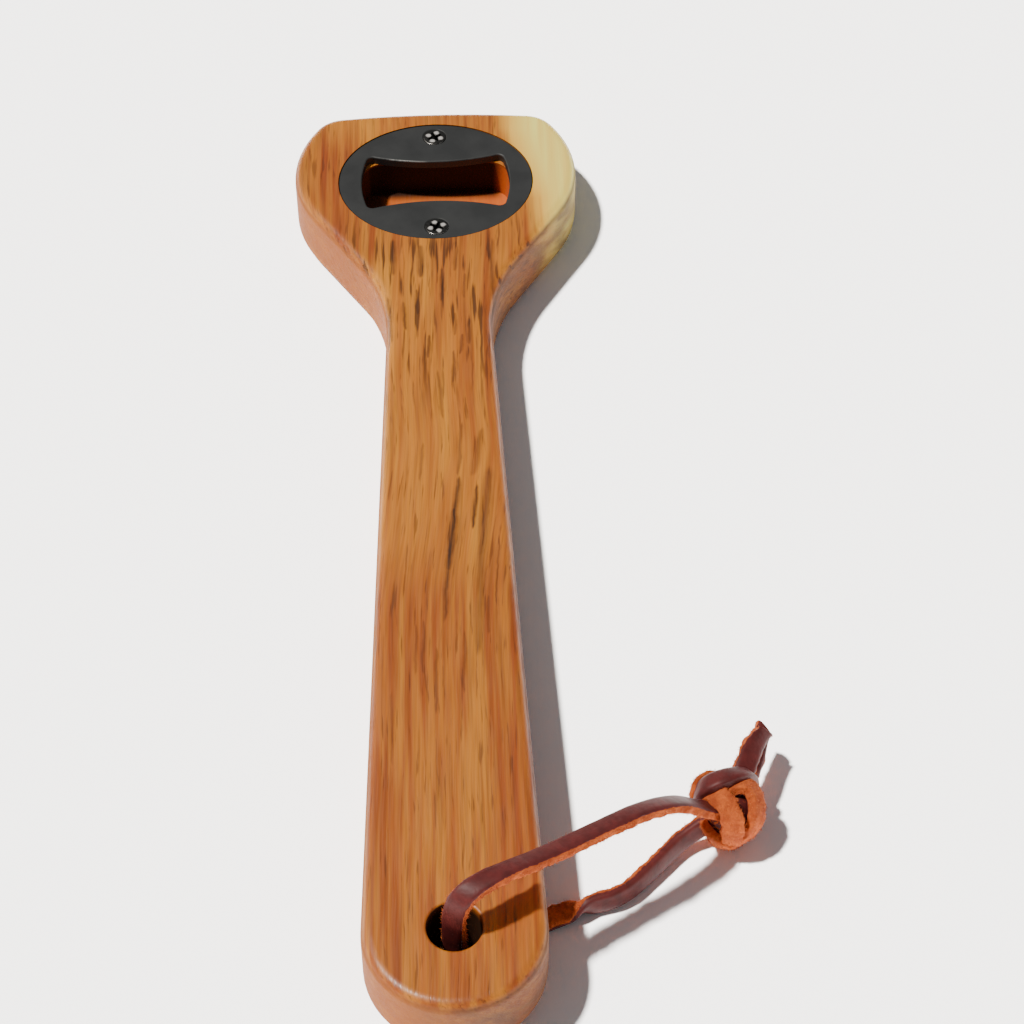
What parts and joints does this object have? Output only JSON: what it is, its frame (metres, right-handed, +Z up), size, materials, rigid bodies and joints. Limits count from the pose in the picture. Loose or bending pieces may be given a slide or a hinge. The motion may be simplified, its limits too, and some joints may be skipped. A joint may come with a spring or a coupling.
{
  "type": "bottle opener",
  "caption": "Wooden paddle bottle opener with an oval steel cap-lifter plate let into its head, a tapering handle and a knotted leather wrist lace.",
  "frame": {"origin": "bottom centre of the opener without its lace, on the surface it lies on", "axes": "+Y from the handle end to the head, +X to the right seen from above, +Z up out of the opener plate's face"},
  "size_m": [0.0955, 0.2501, 0.0282],
  "materials": {
    "wood": "satin oiled hardwood, golden brown with dark streaks and pale sapwood on one side of the head",
    "plate_steel": "matte charcoal coating, worn bright along the mouth's edge",
    "screw_metal": "bright nickel plating",
    "lace_leather": "smooth burgundy grain side, rough orange-tan flesh side and edges"
  },
  "bodies": {
    "opener": {"wood_body": "wood", "opener_plate": "plate_steel", "screw_head_side": "screw_metal", "screw_handle_side": "screw_metal"},
    "lanyard": {"lace_upper": "lace_leather", "lace_lower": "lace_leather", "lace_knot": "lace_leather", "lace_tail_front": "lace_leather", "lace_tail_back": "lace_leather"}
  },
  "joints": [
    {"name": "lanyard_swing", "type": "hinge", "parent": "opener", "child": "lanyard", "pos_m": [0, -0.10779, 0.01025], "axis": [0, 0, 1], "range_deg": [-240, 15]}
  ]
}
